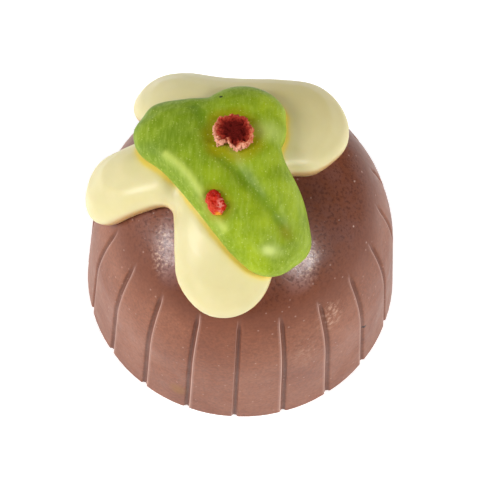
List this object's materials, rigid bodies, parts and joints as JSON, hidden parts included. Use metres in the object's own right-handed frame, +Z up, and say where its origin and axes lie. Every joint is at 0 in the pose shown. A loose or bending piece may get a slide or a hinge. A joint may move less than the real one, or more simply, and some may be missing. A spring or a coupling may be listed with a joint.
{
  "type": "christmas pudding chocolate",
  "caption": "Moulded milk chocolate like a small pudding: fluted domed body, poured white chocolate lobes, green chocolate over them and crumbs of dried red fruit.",
  "frame": {"origin": "middle of the flat base", "axes": "+Z up from the base through the crown, -Y towards the side that the picture looks down on, +X to the right of that view"},
  "size_m": [0.03, 0.03, 0.0282],
  "materials": {
    "milk_chocolate": "moulded milk chocolate, satin, with a faint purple bloom on the crown",
    "white_chocolate": "poured white chocolate, smooth and softly glossy",
    "green_chocolate": "green coloured white chocolate, smooth, with fine pale specks",
    "dried_fruit": "crumbled freeze-dried red fruit, matte and ragged"
  },
  "bodies": {
    "root": {"chocolate_body": "milk_chocolate", "white_chocolate": "white_chocolate", "green_chocolate": "green_chocolate", "fruit_crumb_large": "dried_fruit", "fruit_crumb_small": "dried_fruit"}
  },
  "joints": []
}
